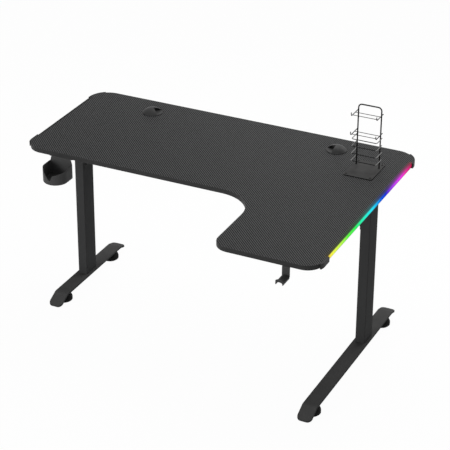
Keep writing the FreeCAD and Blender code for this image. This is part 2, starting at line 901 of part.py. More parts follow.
# Headphone hook
def hook_saddle(top, y0, y1):
    """An arched strip along Y, crowned at that height, with short ears turned down at both sides."""
    w = hook_width / 2
    inner_w = w - hook_sheet
    inner_radius = hook_arch_radius - hook_sheet
    fall = hook_arch_radius - math.sqrt(hook_arch_radius * hook_arch_radius - w * w)
    inner_fall = inner_radius - math.sqrt(inner_radius * inner_radius - inner_w * inner_w)
    under = hook_crown_z - hook_sheet
    low = under - fall - hook_ear
    outer = [V(hook_x - w, y0, top - fall), V(hook_x, y0, top), V(hook_x + w, y0, top - fall)]
    inner = [V(hook_x + inner_w, y0, under - inner_fall), V(hook_x, y0, under),
             V(hook_x - inner_w, y0, under - inner_fall)]
    ears = [V(hook_x + w, y0, low), V(hook_x + inner_w, y0, low),
            V(hook_x - inner_w, y0, low), V(hook_x - w, y0, low)]
    edges = [
        Part.Arc(*outer).toShape(),
        Part.LineSegment(outer[2], ears[0]).toShape(),
        Part.LineSegment(ears[0], ears[1]).toShape(),
        Part.LineSegment(ears[1], inner[0]).toShape(),
        Part.Arc(*inner).toShape(),
        Part.LineSegment(inner[2], ears[2]).toShape(),
        Part.LineSegment(ears[2], ears[3]).toShape(),
        Part.LineSegment(ears[3], outer[0]).toShape(),
    ]
    return prism(Part.Wire(edges), V(0, y1 - y0, 0))


def headphone_hook():
    """A flange under the board, a short stem and an arched saddle with a raised lip at its tip."""
    w = hook_width / 2
    tip = front_y - hook_reach
    line = [
        V(hook_x - w, front_y + hook_flange_reach, board_z),
        V(hook_x - w, front_y, board_z),
        V(hook_x - w, front_y, hook_crown_z - hook_lip),
        V(hook_x - w, front_y + hook_sheet, hook_crown_z - hook_lip),
        V(hook_x - w, front_y + hook_sheet, board_z - hook_sheet),
        V(hook_x - w, front_y + hook_flange_reach, board_z - hook_sheet),
    ]
    radii = [0, hook_bend, 0, 0, hook_bend - hook_sheet, 0]
    strip = prism(rounded_loop(line, radii), V(hook_width, 0, 0))
    saddle = hook_saddle(hook_crown_z, tip, front_y)
    lip = hook_saddle(hook_crown_z + hook_lip, tip, tip + hook_sheet)
    holes = [hole(screw_radius + seat_gap, p, p + up * hook_sheet) for p in hook_screw_seats()]
    hook = strip.fuse([saddle, lip]).removeSplitter()
    ends = [e for e in hook.Edges if e.BoundBox.YMax < tip + hook_tip_round]
    return hook.makeFillet(hook_tip_round, ends).cut(holes)


# Controller rack
def rack_base():
    """A thin steel plate with rounded corners, screwed to the desktop."""
    w = rack_base_width / 2
    plan = rounded_rectangle(rack_x - w, rack_x + w, rack_front_y, rack_front_y + rack_base_depth,
                             desk_height, rack_base_corner)
    plate = prism(plan, up * rack_base_thickness)
    plate = plate.makeFillet(rack_base_round, edges_at(plate, rack_floor_z))
    low = up * rack_base_thickness
    return plate.cut([hole(screw_radius + seat_gap, p - low, p) for p in rack_screw_seats()])


def rack_frame():
    """The two posts and the bar across their tops, one bent rod."""
    w = rack_post_spread / 2
    top = rack_floor_z + rack_height - rack_post_radius
    points = [
        V(rack_x - w, rack_post_y, rack_floor_z),
        V(rack_x - w, rack_post_y, top),
        V(rack_x + w, rack_post_y, top),
        V(rack_x + w, rack_post_y, rack_floor_z),
    ]
    return bent_rod(rack_post_radius, points, rack_post_bend)


def rack_side():
    """Half the width between a loop's two arms, which are welded to the outsides of the posts."""
    return rack_post_spread / 2 + rack_post_radius + rack_wire_radius + seat_gap


def rack_loop(index):
    """A level wire loop that stands out in front of the posts, to carry a game case."""
    w = rack_side()
    z = rack_floor_z + rack_loop_first + rack_loop_pitch * index
    back = rack_post_y + rack_tail
    front = rack_post_y - rack_loop_reach
    x0 = rack_x - w
    x1 = rack_x + w
    points = [V(x0, back, z), V(x0, front, z), V(x1, front, z), V(x1, back, z)]
    return bent_rod(rack_wire_radius, points, rack_loop_bend)


def rack_cradle(height):
    """Two wire arms with turned-up tips, tied by cross wires, to carry a controller."""
    w = rack_side()
    z = rack_floor_z + height
    back = rack_post_y + rack_tail
    tip = rack_post_y - rack_cradle_reach
    arms = []
    for side in (LEFT, RIGHT):
        x = rack_x + side * w
        points = [V(x, back, z), V(x, tip, z), V(x, tip, z + rack_cradle_rise)]
        arms.append(bent_rod(rack_wire_radius, points, rack_cradle_bend))
    wires = []
    for share in rack_cross_shares:
        y = rack_post_y - rack_cradle_reach * share
        wires.append(rod(rack_cross_radius, V(rack_x - w, y, z), V(rack_x + w, y, z)))
    return arms[0].fuse(arms[1:] + wires)


# Fastener groups
def group(solids):
    return Part.makeCompound(solids)


def arm_screws():
    seats = arm_screw_seats(left_leg_x, left_arm_front_y, left_arm_screw_shares)
    seats += arm_screw_seats(right_leg_x, right_arm_front_y, right_arm_screw_shares)
    return group([screw(p, up) for p in seats])


def plate_bolts():
    solids = []
    for side in (LEFT, RIGHT):
        inward = V(-side * end_plate_thickness, 0, 0)
        shank = V(side * (end_plate_thickness + bolt_grip), 0, 0)
        for p in end_plate_bolts(side):
            solids.append(hex_bolt(bolt_radius, bolt_flats, bolt_head_height, p + inward, shank))
    return group(solids)


def arm_bolt_group():
    shank = up * (top_plate_thickness + arm_bolt_bite)
    seats = arm_bolts(LEFT) + arm_bolts(RIGHT)
    return group([hex_bolt(bolt_radius, bolt_flats, bolt_head_height, p, shank) for p in seats])


def foot_bolt_group():
    shank = up * (foot_sheet + foot_bolt_bite)
    web = up * foot_sheet
    seats = foot_bolts(LEFT) + foot_bolts(RIGHT)
    return group([
        hex_bolt(foot_bolt_radius, foot_bolt_flats, foot_bolt_head_height, p - web, shank) for p in seats
    ])


def pieces():
    """Every node of the desk, by name."""
    sides = {"left": LEFT, "right": RIGHT}
    nodes = {"desktop_board": desktop_board(), "edge_band": edge_band()}
    for name, corner in zip(("back_left", "front_left", "back_right", "front_right"), cap_corners()):
        nodes[name + "_corner_cap"] = corner_cap(*corner)
    turns = {"left": left_mouth_turn, "right": right_mouth_turn}
    for name, side in sides.items():
        nodes[name + "_light_channel"] = light_channel(side)
        nodes[name + "_led_strip"] = led_strip(side)
        nodes[name + "_light_diffuser"] = light_diffuser(side)
        nodes[name + "_light_inlet"] = light_inlet(side)
        nodes[name + "_grommet_liner"] = grommet_liner(side)
        nodes[name + "_grommet_hood"] = grommet_hood(side, turns[name])
        nodes[name + "_column"] = column(side)
        nodes[name + "_column_insert"] = column_insert(side)
        nodes[name + "_top_plate"] = top_plate(side)
        nodes[name + "_support_arm"] = support_arm(side)
        nodes[name + "_foot_bar"] = foot_bar(side)
        nodes[name + "_beam_end_plate"] = end_plate(side)
        for place, end in (("front", FRONT), ("back", BACK)):
            nodes[place + "_" + name + "_glide_pad"] = glide_pad(side, end)
            nodes[place + "_" + name + "_glide_stud"] = glide_stud(side, end)
    ends = [(side, end) for side in (LEFT, RIGHT) for end in (FRONT, BACK)]
    nodes["arm_plugs"] = group([arm_plug(*place) for place in ends])
    nodes["glide_bushes"] = group([glide_bush(*place) for place in ends])
    nodes["cross_beam"] = cross_beam()
    nodes["cup_holder"] = cup_holder()
    nodes["headphone_hook"] = headphone_hook()
    nodes["rack_base"] = rack_base()
    nodes["rack_frame"] = rack_frame()
    for index in range(rack_loop_count):
        nodes["rack_loop_%d" % (index + 1)] = rack_loop(index)
    for name, height in zip(("lower", "upper"), rack_cradle_heights):
        nodes["rack_%s_cradle" % name] = rack_cradle(height)
    nodes["arm_screws"] = arm_screws()
    nodes["cap_screws"] = group([screw(p, up) for p in cap_screw_seats()])
    nodes["cup_screws"] = group([screw(p, up) for p in cup_screw_seats()])
    nodes["hook_screws"] = group([screw(p, up) for p in hook_screw_seats()])
    nodes["rack_screws"] = group([screw(p, -up) for p in rack_screw_seats()])
    nodes["beam_bolts"] = plate_bolts()
    nodes["arm_bolts"] = arm_bolt_group()
    nodes["foot_bolts"] = foot_bolt_group()
    return nodes


os.makedirs("parts", exist_ok=True)
for node, shape in pieces().items():
    shape.exportStep("parts/%s.step" % node)
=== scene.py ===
import math
import bmesh
import bpy
import numpy as np
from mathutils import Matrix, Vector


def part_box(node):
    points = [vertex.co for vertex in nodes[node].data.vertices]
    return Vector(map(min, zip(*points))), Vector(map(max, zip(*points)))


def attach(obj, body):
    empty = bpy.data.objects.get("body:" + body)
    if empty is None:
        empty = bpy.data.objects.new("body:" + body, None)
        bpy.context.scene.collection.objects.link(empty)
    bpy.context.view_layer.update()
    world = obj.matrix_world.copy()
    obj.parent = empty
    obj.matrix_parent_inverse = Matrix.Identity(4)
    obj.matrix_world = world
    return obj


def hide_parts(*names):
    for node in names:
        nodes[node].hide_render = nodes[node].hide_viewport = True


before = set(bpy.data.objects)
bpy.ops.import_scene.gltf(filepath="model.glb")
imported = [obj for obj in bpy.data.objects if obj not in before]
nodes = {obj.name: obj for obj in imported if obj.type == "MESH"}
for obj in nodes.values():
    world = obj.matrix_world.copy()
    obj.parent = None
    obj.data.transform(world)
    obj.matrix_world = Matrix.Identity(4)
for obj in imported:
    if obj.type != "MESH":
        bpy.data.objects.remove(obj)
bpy.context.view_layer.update()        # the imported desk, in metres, as a fixed frame
scene = bpy.context.scene
scene.view_settings.view_transform = "Standard"
print("frame loaded:", len(nodes), "nodes")


class Flow:              # a shader socket that can stand in a Python sum
    def __init__(self, tree, socket):
        self.tree = tree
        self.socket = socket

    # any node: its type, its settings first, then the values or links of its sockets
    def node(self, kind, settings=None, values=None, out=0):
        made = self.tree.nodes.new(kind)
        for name, value in (settings or {}).items():
            if name == "stops":
                fillRamp(made.color_ramp, value)
            else:
                setattr(made, name, value)
        for name, value in (values or {}).items():
            live = [s for s in made.inputs if s.enabled]
            socket = live[name] if isinstance(name, int) else next(s for s in live if s.name == name)
            if isinstance(value, Flow):
                self.tree.links.new(value.socket, socket)
            else:
                socket.default_value = value
        live = [s for s in made.outputs if s.enabled]
        return Flow(self.tree, live[out] if isinstance(out, int) else made.outputs[out])

    def math(self, operation, *others):
        return self.node("ShaderNodeMath", {"operation": operation}, dict(enumerate((self,) + others)))

    def __add__(self, other):
        return self.math("ADD", other)

    def __sub__(self, other):
        return self.math("SUBTRACT", other)

    def __rsub__(self, other):
        return self.node("ShaderNodeMath", {"operation": "SUBTRACT"}, {0: other, 1: self})

    def __mul__(self, other):
        return self.math("MULTIPLY", other)

    def __truediv__(self, other):
        return self.math("DIVIDE", other)

    def __mod__(self, other):
        return self.math("FLOORED_MODULO", other)

    def __lt__(self, other):
        return self.math("LESS_THAN", other)

    def __gt__(self, other):
        return self.math("GREATER_THAN", other)

    __radd__ = __add__
    __rmul__ = __mul__

    def swing(self, depth):         # a noise as a swing to both sides of nought
        return (self - 0.5) * depth

    def between(self, low, high):   # 0 below low, 1 above high, smooth between
        return self.node("ShaderNodeMapRange", {"interpolation_type": "SMOOTHSTEP"},
                         {"Value": self, "From Min": low, "From Max": high})

    def axis(self, number):
        return self.node("ShaderNodeSeparateXYZ", None, {"Vector": self}, number)

    def stretched(self, x, y, z):
        return self.node("ShaderNodeVectorMath", {"operation": "MULTIPLY"}, {0: self, 1: (x, y, z)})

    def noise(self, scale, detail=2.0, rough=0.5):
        return self.node("ShaderNodeTexNoise", None,
                         {"Vector": self, "Scale": scale, "Detail": detail, "Roughness": rough})

    def tint(self, first, second):  # first colour where this is 0, second where it is 1
        return self.node("ShaderNodeMix", {"data_type": "RGBA"}, {"Factor": self, "A": first, "B": second})

    def scaled(self, amount):       # a colour made brighter or darker
        return self.node("ShaderNodeVectorMath", {"operation": "SCALE"}, {0: self, "Scale": amount})

    def bump(self, strength, distance):
        return self.node("ShaderNodeBump", None,
                         {"Height": self, "Strength": strength, "Distance": distance})


def fillRamp(ramp, stops):
    while len(ramp.elements) < len(stops):
        ramp.elements.new(1.0)
    for element, (place, color) in zip(ramp.elements, stops):
        element.position = place
        element.color = color


def grey(level, warm=0.0):           # a grey as a shader colour, a little warmer or cooler
    return (level * (1 + warm), level, level * (1 - warm), 1.0)


def startMaterial(name):
    made = bpy.data.materials.new(name)
    made.use_nodes = True
    tree = made.node_tree
    shader = tree.nodes["Principled BSDF"]
    spot = Flow(tree, tree.nodes.new("ShaderNodeTexCoord").outputs["Object"])
    return made, shader, spot


def plug(shader, links, constants):
    for name, flow in links.items():
        flow.tree.links.new(flow.socket, shader.inputs[name])
    for name, value in constants.items():
        shader.inputs[name].default_value = value


def dress(material, *names):         # a CAD node keeps its shape and takes a finish
    for name in names:
        for slot in nodes[name].material_slots:
            slot.material = material


squarely = (0.5, 0.9)                # a face counts from the first of these to the second, fully


def facing(spot, number):            # how far a face looks along x, y or z
    return spot.node("ShaderNodeNewGeometry", None, None, "Normal").axis(number)


# Light bar: the colour follows the run from the back end to the front end of the bar
rainbow = [
    (0.00, (0.50, 0.01, 0.05, 1.0)), (0.08, (0.84, 0.03, 0.36, 1.0)), (0.15, (0.80, 0.04, 0.84, 1.0)),
    (0.22, (0.50, 0.05, 0.86, 1.0)), (0.33, (0.01, 0.03, 0.66, 1.0)), (0.39, (0.00, 0.10, 0.80, 1.0)),
    (0.50, (0.02, 0.78, 0.92, 1.0)), (0.58, (0.02, 0.88, 0.60, 1.0)), (0.70, (0.03, 0.86, 0.09, 1.0)),
    (0.79, (0.14, 0.90, 0.06, 1.0)), (0.86, (0.52, 0.94, 0.08, 1.0)), (0.955, (0.92, 0.94, 0.07, 1.0)),
    (1.00, (0.94, 0.60, 0.05, 1.0)),
]
barLook = {"strength": 1.0, "milk": 0.012, "cloud": 300.0, "rough": 0.5, "edgeFrom": 0.55, "edgeDim": 0.30,
           "pitch": 0.02, "chips": 0.04}


def hueAlong(spot, node):            # how far along the bar a place is, and the run's colour there
    low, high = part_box(node)
    along = (high.y - spot.axis(1)) / (high.y - low.y)
    return along, along.node("ShaderNodeValToRGB", {"stops": rainbow}, {0: along})


def litDiffuser(name, node):
    look = barLook
    made, shader, spot = startMaterial(name)
    low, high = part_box(node)
    along, hue = hueAlong(spot, node)
    middle, half = (low.z + high.z) / 2, (high.z - low.z) / 2
    edge = ((spot.axis(2) - middle) / half).math("ABSOLUTE").between(look["edgeFrom"], 1.0)
    phase = 2 * math.pi * (high.y - low.y) / look["pitch"]
    chips = (along * phase).math("SINE") * look["chips"]       # the chips behind it show faintly
    glow = 1.0 - edge * look["edgeDim"] + chips                # dimmer at the two long edges
    milk = spot.noise(look["cloud"], 3.0).tint(grey(look["milk"] * 0.8), grey(look["milk"]))
    plug(shader, {"Emission Color": hue.scaled(glow), "Base Color": milk},
         {"Emission Strength": look["strength"], "Roughness": look["rough"], "Specular IOR Level": 0.0})
    return made


# The right bar's light on the top beside it, a painted glow: it falls with the distance from the edge and
# towards the front
paintedGlowLook = {"back": 0.55, "front": 0.05, "fade": 2.0, "width": 0.018, "fall": 1.6, "ends": 0.02}


def paintedBarGlow(spot, along):
    look = paintedGlowLook
    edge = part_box("right_light_channel")[1].x
    inset = (edge - spot.axis(0)) / look["width"]
    near = (1.0 - inset).math("MAXIMUM", 0.0).math("POWER", look["fall"])
    run = along.between(-look["ends"], 0.0) * (1.0 - along.between(1.0, 1.0 + look["ends"]))
    level = (1.0 - along).math("POWER", look["fade"]) * look["back"] + look["front"]
    return near * run * facing(spot, 2).between(*squarely) * level


# Light channel: a black coat. Its two outer lips carry a painted glow of the bar's light, and so does the top
# of the right one.
channelLook = {"dark": 0.010, "light": 0.018, "grain": 1400.0, "rough": 0.45, "roughSwing": 0.2,
               "gloss": 0.05, "lip": 0.003, "paintedSpill": 0.45}


def litChannel(name, node, diffuser):
    look = channelLook
    made, shader, spot = startMaterial(name)
    low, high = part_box(node)
    along, hue = hueAlong(spot, diffuser)
    reach = max(abs(low.x), abs(high.x))
    outer = spot.axis(0).math("ABSOLUTE").between(reach - look["lip"], reach)
    away = facing(spot, 0).math("ABSOLUTE").between(*squarely)
    # painted glow of the bar's light on the outer lips and on the right channel's top
    paintedSpill = outer * away * look["paintedSpill"] + paintedBarGlow(spot, along)
    grain = spot.noise(look["grain"], 3.0)
    plug(shader, {"Emission Color": hue.scaled(paintedSpill),
                  "Base Color": grain.tint(grey(look["dark"]), grey(look["light"])),
                  "Roughness": look["rough"] + grain * look["roughSwing"]},
         {"Emission Strength": barLook["strength"], "Specular IOR Level": look["gloss"]})
    return made


# Board: a 2/2 twill print on the foil. Tow numbers i and j come from x and y over the tow's width;
# the lengthwise tow lies on top where (i + j) mod 4 < 2, and each tow is crowned across its width.
filmLook = {"tow": 0.00267, "repeat": 4.0, "over": 1.5, "deep": 0.001, "lit": 0.098, "cover": 0.93,
            "under": 0.02, "valley": 0.55, "fibre": (4200.0, 160.0), "fibreSwing": 0.35,
            "cloud": 3.5, "cloudSwing": 0.12, "backing": 0.022, "paper": 240.0, "rough": 0.46,
            "roughSwing": 0.14, "valleyRough": 0.08, "relief": 0.25, "crown": 0.00025, "gloss": 0.03}


def boardFilm():
    look = filmLook
    made, shader, spot = startMaterial("boardFilm")
    u, v = [spot.axis(i) / look["tow"] for i in (0, 1)]
    column, row = u.math("FLOOR"), v.math("FLOOR")
    over = ((column + row) % look["repeat"]) < look["over"]
    crownU, crownV = [1.0 - ((a - b) * 2.0 - 1.0).math("POWER", 2.0) for a, b in ((u, column), (v, row))]
    crown = over * crownU + (1.0 - over) * crownV
    across, along = look["fibre"]
    fibreU = spot.stretched(across, along, 1.0).noise(1.0, 1.0)
    fibreV = spot.stretched(along, across, 1.0).noise(1.0, 1.0)
    fibre = over * fibreU + (1.0 - over) * fibreV
    cloud = spot.noise(look["cloud"], 3.0)
    shade = over * look["cover"] - look["under"]
    shade = shade + fibre.swing(look["fibreSwing"]) + cloud.swing(look["cloudSwing"])
    lit = shade * (look["valley"] + crown * (1 - look["valley"]))
    weave = lit.tint(grey(look["deep"]), grey(look["lit"], -0.01))
    top = facing(spot, 2) > 0.5
    paper = spot.noise(look["paper"], 4.0).tint(grey(look["backing"] * 0.7), grey(look["backing"], 0.05))
    rough = look["rough"] + cloud.swing(look["roughSwing"]) + (1.0 - crown) * look["valleyRough"]
    normal = (crown * top).bump(look["relief"], look["crown"])
    # painted glow of the right bar's light on the board's top
    run, hue = hueAlong(spot, "right_light_diffuser")
    plug(shader, {"Base Color": top.tint(paper, weave), "Roughness": rough, "Normal": normal,
                  "Emission Color": hue.scaled(paintedBarGlow(spot, run))},
         {"Specular IOR Level": look["gloss"], "Emission Strength": barLook["strength"]})
    return made


# Powder coat: a fine orange peel with slow drifts of tone and gloss, and on what looks up a lighter tone in
# patches, partly dust and partly painted light from above
coatLook = {"peel": 900.0, "speck": 2600.0, "drift": 6.0, "toneSwing": (0.9, 0.5), "rough": 0.55,
            "roughSwing": (0.12, 0.1), "relief": 0.35, "depth": 0.00006,
            "level": (0.45, 0.85), "patch": 22.0, "patchSwing": 0.5, "cover": 0.55}
coats = {                            # dark and light tone, tone of the dust and painted top light, gloss
    "frameCoat": (0.038, 0.052, 0.096, 0.006),
    "rackCoat": (0.005, 0.010, 0.02, 0.06),
    "rackPlate": (0.004, 0.008, 0.112, 0.006),
}


def powderCoat(name, dark, light, dustAndTopLightTone, gloss):
    look = coatLook
    made, shader, spot = startMaterial(name)
    peel = spot.noise(look["peel"], 2.0)
    speck = spot.noise(look["speck"], 1.0)
    drift = spot.noise(look["drift"], 3.0)
    shade = drift.swing(look["toneSwing"][0]) + 0.5 + speck.swing(look["toneSwing"][1])
    rough = look["rough"] + drift.swing(look["roughSwing"][0]) + speck.swing(look["roughSwing"][1])
    normal = (peel + speck * 0.4).bump(look["relief"], look["depth"])
    patch = spot.noise(look["patch"], 4.0, 0.6).swing(look["patchSwing"]) + look["cover"]
    # painted light from above: upward faces turn lighter in patches, partly as dust
    dustAndTopLight = facing(spot, 2).between(*look["level"]) * patch
    color = dustAndTopLight.tint(shade.tint(grey(dark), grey(light, -0.015)), grey(dustAndTopLightTone, 0.01))
    plug(shader, {"Base Color": color, "Roughness": rough, "Normal": normal}, {"Specular IOR Level": gloss})
    return made


# Rack wire: a painted highlight makes the side runs lighter grey in patches,
# and the front bars keep the black coat
wireSheenLook = {"coat": 0.006, "sheenTone": 0.27, "start": 0.0065, "full": 0.0035, "patch": 170.0,
           "patchy": (0.3, 0.55), "least": 0.55, "fine": 2400.0, "fineSwing": 0.06, "rough": 0.55,
           "polish": 0.15, "relief": 0.3, "depth": 0.00005, "gloss": 0.06}


def sheenPaintedWire(name, node):
    look = wireSheenLook
    made, shader, spot = startMaterial(name)
    low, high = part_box(node)
    out = (spot.axis(0) - (low.x + high.x) / 2).math("ABSOLUTE")
    half = (high.x - low.x) / 2
    side = out.between(half - look["start"], half - look["full"])
    patch = spot.noise(look["patch"], 3.0, 0.6)
    # painted highlight: the side runs turn lighter grey in patches
    paintedSheen = side * (patch.between(*look["patchy"]) * (1 - look["least"]) + look["least"])
    fine = spot.noise(look["fine"], 2.0)
    color = (paintedSheen + fine.swing(look["fineSwing"])).tint(grey(look["coat"]), grey(look["sheenTone"], 0.01))
    normal = (patch + fine * 0.3).bump(look["relief"], look["depth"])
    plug(shader, {"Base Color": color, "Roughness": look["rough"] - paintedSheen * look["polish"], "Normal": normal},
         {"Specular IOR Level": look["gloss"]})
    return made


# Moulded plastic: a spark-eroded grain, with a slow change of gloss where it has been handled
plasticLook = {"fine": 1.7, "smear": 14.0, "toneSwing": (0.8, 0.4), "roughSwing": (0.16, 0.08),
               "relief": 0.25, "depth": 0.00008, "gloss": 0.06}
plastics = {                         # dark and light tone, roughness, grains to a metre
    "capPlastic": (0.026, 0.036, 0.42, 1500.0),
    "grommetPlastic": (0.033, 0.046, 0.38, 1800.0),
    "accessoryPlastic": (0.045, 0.060, 0.45, 1500.0),
    "glideRubber": (0.004, 0.008, 0.6, 1100.0),
    "edgePlastic": (0.027, 0.038, 0.4, 2200.0),
    "blackOxide": (0.01, 0.02, 0.35, 2600.0),
}


def mouldedPlastic(name, dark, light, rough, grain):
    look = plasticLook
    made, shader, spot = startMaterial(name)
    pits = spot.node("ShaderNodeTexVoronoi", None, {"Vector": spot, "Scale": grain}, "Distance")
    fine = spot.noise(grain * look["fine"], 3.0)
    smear = spot.noise(look["smear"], 4.0, 0.6)
    shade = smear.swing(look["toneSwing"][0]) + 0.5 + fine.swing(look["toneSwing"][1])
    worn = rough + smear.swing(look["roughSwing"][0]) + fine.swing(look["roughSwing"][1])
    normal = (pits + fine * 0.5).bump(look["relief"], look["depth"])
    plug(shader, {"Base Color": shade.tint(grey(dark), grey(light)), "Roughness": worn, "Normal": normal},
         {"Specular IOR Level": look["gloss"]})
    return made


# Zinc plate: bare metal with a fine mottle of tone and gloss
plateLook = {"grain": 700.0, "dark": 0.42, "light": 0.6, "rough": 0.3, "roughSwing": 0.2,
             "relief": 0.2, "depth": 0.00005}


def brushedPlate():
    look = plateLook
    made, shader, spot = startMaterial("zincPlate")
    grain = spot.noise(look["grain"], 3.0)
    plug(shader, {"Base Color": grain.tint(grey(look["dark"], 0.02), grey(look["light"], -0.02)),
                  "Roughness": look["rough"] + grain.swing(look["roughSwing"]),
                  "Normal": grain.bump(look["relief"], look["depth"])}, {"Metallic": 1.0})
    return made


# Light strip: a white ground with one yellow chip at every pitch along the bar
ledLook = {"pitch": 0.02, "half": 0.13, "chip": (0.75, 0.62, 0.2, 1.0), "dirt": 180.0,
           "dark": 0.6, "light": 0.7, "rough": 0.4, "roughSwing": 0.2}


def ledBoard():
    look = ledLook
    made, shader, spot = startMaterial("ledBoard")
    chip = ((spot.axis(1) / look["pitch"]) % 1.0 - 0.5).math("ABSOLUTE") < look["half"]
    dirt = spot.noise(look["dirt"], 3.0)
    strip = dirt.tint(grey(look["dark"]), grey(look["light"]))
    plug(shader, {"Base Color": chip.tint(strip, look["chip"]),
                  "Roughness": look["rough"] + dirt * look["roughSwing"]}, {})
    return made


sides = ("left", "right")
corners = ("front_left", "back_left", "front_right", "back_right")
loops = ["rack_loop_%d" % i for i in (1, 2, 3, 4)]
cradles = ["rack_lower_cradle", "rack_upper_cradle"]
screwed = ("arm", "cap", "cup", "hook", "rack")
bolted = ("beam", "arm", "foot")
finish = {name: powderCoat(name, *look) for name, look in coats.items()}
finish.update({name: mouldedPlastic(name, *look) for name, look in plastics.items()})

dress(boardFilm(), "desktop_board")
dress(finish["edgePlastic"], "edge_band")
dress(finish["capPlastic"], "arm_plugs", *[c + "_corner_cap" for c in corners],
      *[s + "_light_inlet" for s in sides])
dress(finish["frameCoat"], "cross_beam", *[s + part for s in sides for part in (
    "_column", "_column_insert", "_top_plate", "_support_arm", "_foot_bar", "_beam_end_plate")])
dress(ledBoard(), *[s + "_led_strip" for s in sides])
for side in sides:
    bar, channel = side + "_light_diffuser", side + "_light_channel"
    dress(litDiffuser(side + "Light", bar), bar)
    dress(litChannel(side + "Channel", channel, bar), channel)
dress(finish["grommetPlastic"], *[s + part for s in sides for part in ("_grommet_liner", "_grommet_hood")])
dress(finish["glideRubber"], *[c + "_glide_pad" for c in corners])
dress(brushedPlate(), "glide_bushes", *[c + "_glide_stud" for c in corners])
dress(finish["accessoryPlastic"], "cup_holder", "headphone_hook")
dress(finish["rackPlate"], "rack_base")
dress(finish["rackCoat"], "rack_frame", *cradles)
dress(sheenPaintedWire("rackWire", loops[0]), *loops)
dress(finish["blackOxide"], *[name + "_screws" for name in screwed], *[name + "_bolts" for name in bolted])
print("finishes on")


# Pieces: each is a set of numpy grids of points, joined, closed at seams and ends, and smoothed by angle
pieceLook = {"merge": 2e-6, "sliver": 1e-6, "crease": 38}


def makePiece(name, grids, material, replaced=()):
    first = 0
    quads = []
    for grid in grids:
        index = np.arange(grid.shape[0] * grid.shape[1]).reshape(grid.shape[:2]) + first
        around = [index[:-1, :-1], index[1:, :-1], index[1:, 1:], index[:-1, 1:]]
        quads.append(np.stack(around, -1).reshape(-1, 4))
        first += index.size
    points = np.concatenate([grid.reshape(-1, 3) for grid in grids])
    mesh = bpy.data.meshes.new(name)
    mesh.from_pydata(points.tolist(), [], np.concatenate(quads).tolist())
    solid = bmesh.new()
    solid.from_mesh(mesh)
    bmesh.ops.remove_doubles(solid, verts=solid.verts, dist=pieceLook["merge"])
    bmesh.ops.dissolve_degenerate(solid, edges=solid.edges, dist=pieceLook["sliver"])
    bmesh.ops.holes_fill(solid, edges=[e for e in solid.edges if e.is_boundary], sides=0)
    bmesh.ops.recalc_face_normals(solid, faces=solid.faces)
    solid.to_mesh(mesh)
    solid.free()
    mesh.polygons.foreach_set("use_smooth", np.ones(len(mesh.polygons), dtype=bool))
    mesh.set_sharp_from_angle(angle=math.radians(pieceLook["crease"]))
    mesh.materials.append(material)
    piece = bpy.data.objects.new(name, mesh)
    scene.collection.objects.link(piece)
    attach(piece, "desk")
    if replaced:
        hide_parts(*replaced)


def looseParts(node):                # the corner points of each separate solid in one CAD node
    mesh = nodes[node].data
    spots = np.empty(len(mesh.vertices) * 3)
    mesh.vertices.foreach_get("co", spots)
    mesh.calc_loop_triangles()
    triples = np.empty(len(mesh.loop_triangles) * 3, dtype=np.int32)
    mesh.loop_triangles.foreach_get("vertices", triples)
    points, index = np.unique(np.round(spots.reshape(-1, 3), 6), axis=0, return_inverse=True)
    faces = index.reshape(-1)[triples].reshape(-1, 3)
    label = np.arange(len(points))
    settled = False
    while not settled:               # the lowest number spreads over each solid
        fresh = label.copy()
        np.minimum.at(fresh, faces, label[faces].min(axis=1, keepdims=True))
        settled = np.array_equal(fresh, label)
        label = fresh
    return [points[label == one] for one in np.unique(label)]


headTurn = 2.4                       # each head is turned this much further than the last, in radians


def seated(local, node, axis, height):    # copies of a local grid, on the heads of a fastener node
    made = []
    for count, part in enumerate(looseParts(node)):
        ahead = np.array(axis(part) if callable(axis) else axis, dtype=float)
        side = np.array([0.0, 1.0, 0.0]) if abs(ahead[0]) > 0.5 else np.array([1.0, 0.0, 0.0])
        other = np.cross(ahead, side)
        angle = count * headTurn
        across = side * math.cos(angle) + other * math.sin(angle)
        middle = (part.min(axis=0) + part.max(axis=0)) / 2
        seat = middle + ahead * ((part @ ahead).min() + height - middle @ ahead)
        made.append(local @ np.array([across, np.cross(ahead, across), ahead]) + seat)
    return made


# Pan-head screw, by ring q and turn t. The crown falls from its middle with the fourth power of the radius,
# less a cross: two bars of the slot's width and reach, sunk where the larger of the two masks is 1.
screwLook = {"radius": 0.0042, "height": 0.0024, "crown": 0.42, "rim": 0.2, "shank": 0.0019, "length": 0.0135,
             "taper": (0.8, 0.93), "slot": 0.0005, "reach": 0.0024, "sunk": 0.0012,
             "softSide": 0.0002, "softEnd": 0.0003, "rings": 18, "turns": 61}


def panScrew():
    look = screwLook
    radius, height, shank, length = [look[k] for k in ("radius", "height", "shank", "length")]
    turn = np.linspace(0, 2 * np.pi, look["turns"])
    q = np.linspace(0, 1, look["rings"])
    ring = np.concatenate([q * radius, [radius] * 2, [shank] * 2, [shank * 0.5, 0.0]])
    level = np.concatenate([-height * (1 - look["crown"] * q ** 4), [-height * look["rim"], 0.0],
                            [0.0, length * look["taper"][0]], [length * look["taper"][1], length]])
    x = ring[:, None] * np.cos(turn)
    y = ring[:, None] * np.sin(turn)

    def bar(a, b):
        wide = np.clip((look["slot"] - np.abs(a)) / look["softSide"] + 0.5, 0, 1)
        return wide * np.clip((look["reach"] - np.abs(b)) / look["softEnd"], 0, 1)

    onCrown = (np.arange(len(ring)) < look["rings"])[:, None]
    cross = np.maximum(bar(x, y), bar(y, x)) * onCrown
    return np.stack([x, y, level[:, None] + cross * look["sunk"]], -1)


